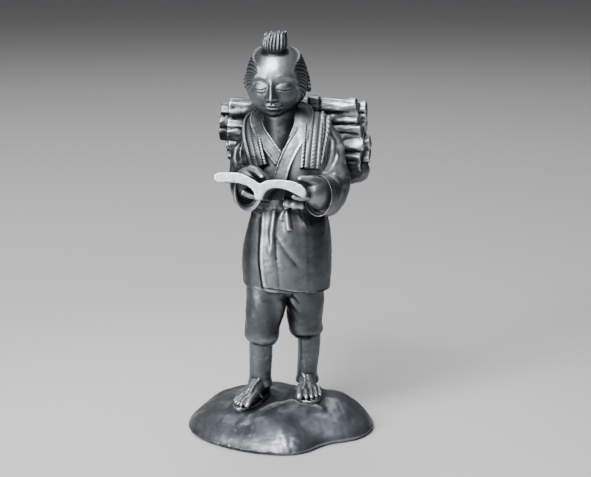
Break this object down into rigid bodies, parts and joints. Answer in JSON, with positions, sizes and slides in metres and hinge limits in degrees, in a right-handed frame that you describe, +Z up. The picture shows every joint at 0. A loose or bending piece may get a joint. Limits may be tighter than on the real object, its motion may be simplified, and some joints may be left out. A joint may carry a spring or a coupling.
{
  "type": "ninomiya kinjiro figure",
  "caption": "Small cast metal statuette of a walking boy in a belted robe who reads an open book, with bundles of firewood on his back, on a low free-form base.",
  "frame": {"origin": "middle of the bounding box, on the flat underside of the base", "axes": "+Z up through the figure, -Y the way the boy faces, +X to the boy's left"},
  "size_m": [0.1138, 0.0942, 0.25],
  "materials": {
    "figure_metal": "dark grey patinated casting, satin, with rubbed lighter edges and near-black recesses",
    "base_metal": "bluish dark grey casting, lumpy and speckled, with glossy high spots"
  },
  "bodies": {
    "root": {"figure": "figure_metal", "base": "base_metal"}
  },
  "joints": []
}
